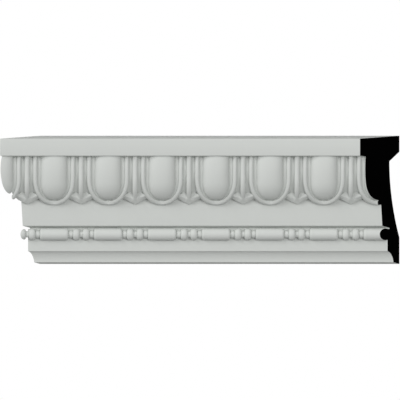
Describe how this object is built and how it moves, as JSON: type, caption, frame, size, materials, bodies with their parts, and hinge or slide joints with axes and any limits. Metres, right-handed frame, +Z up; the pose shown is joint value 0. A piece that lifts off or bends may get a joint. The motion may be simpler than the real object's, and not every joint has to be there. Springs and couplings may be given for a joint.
{
  "type": "chair rail",
  "caption": "Wall moulding with an egg-and-dart band over a fascia, a bead-and-reel row, a cove foot, a relieved back and mitred ends.",
  "frame": {"origin": "on the lower wall pad of the back, at the pad's mid height and half way along the back edge", "axes": "+X along the rail to the right as seen from the room, +Y into the wall, +Z up"},
  "size_m": [0.3554, 0.0354, 0.1143],
  "materials": {
    "primer": "satin white factory primer"
  },
  "bodies": {
    "root": {"chair_rail": "primer"}
  },
  "joints": []
}
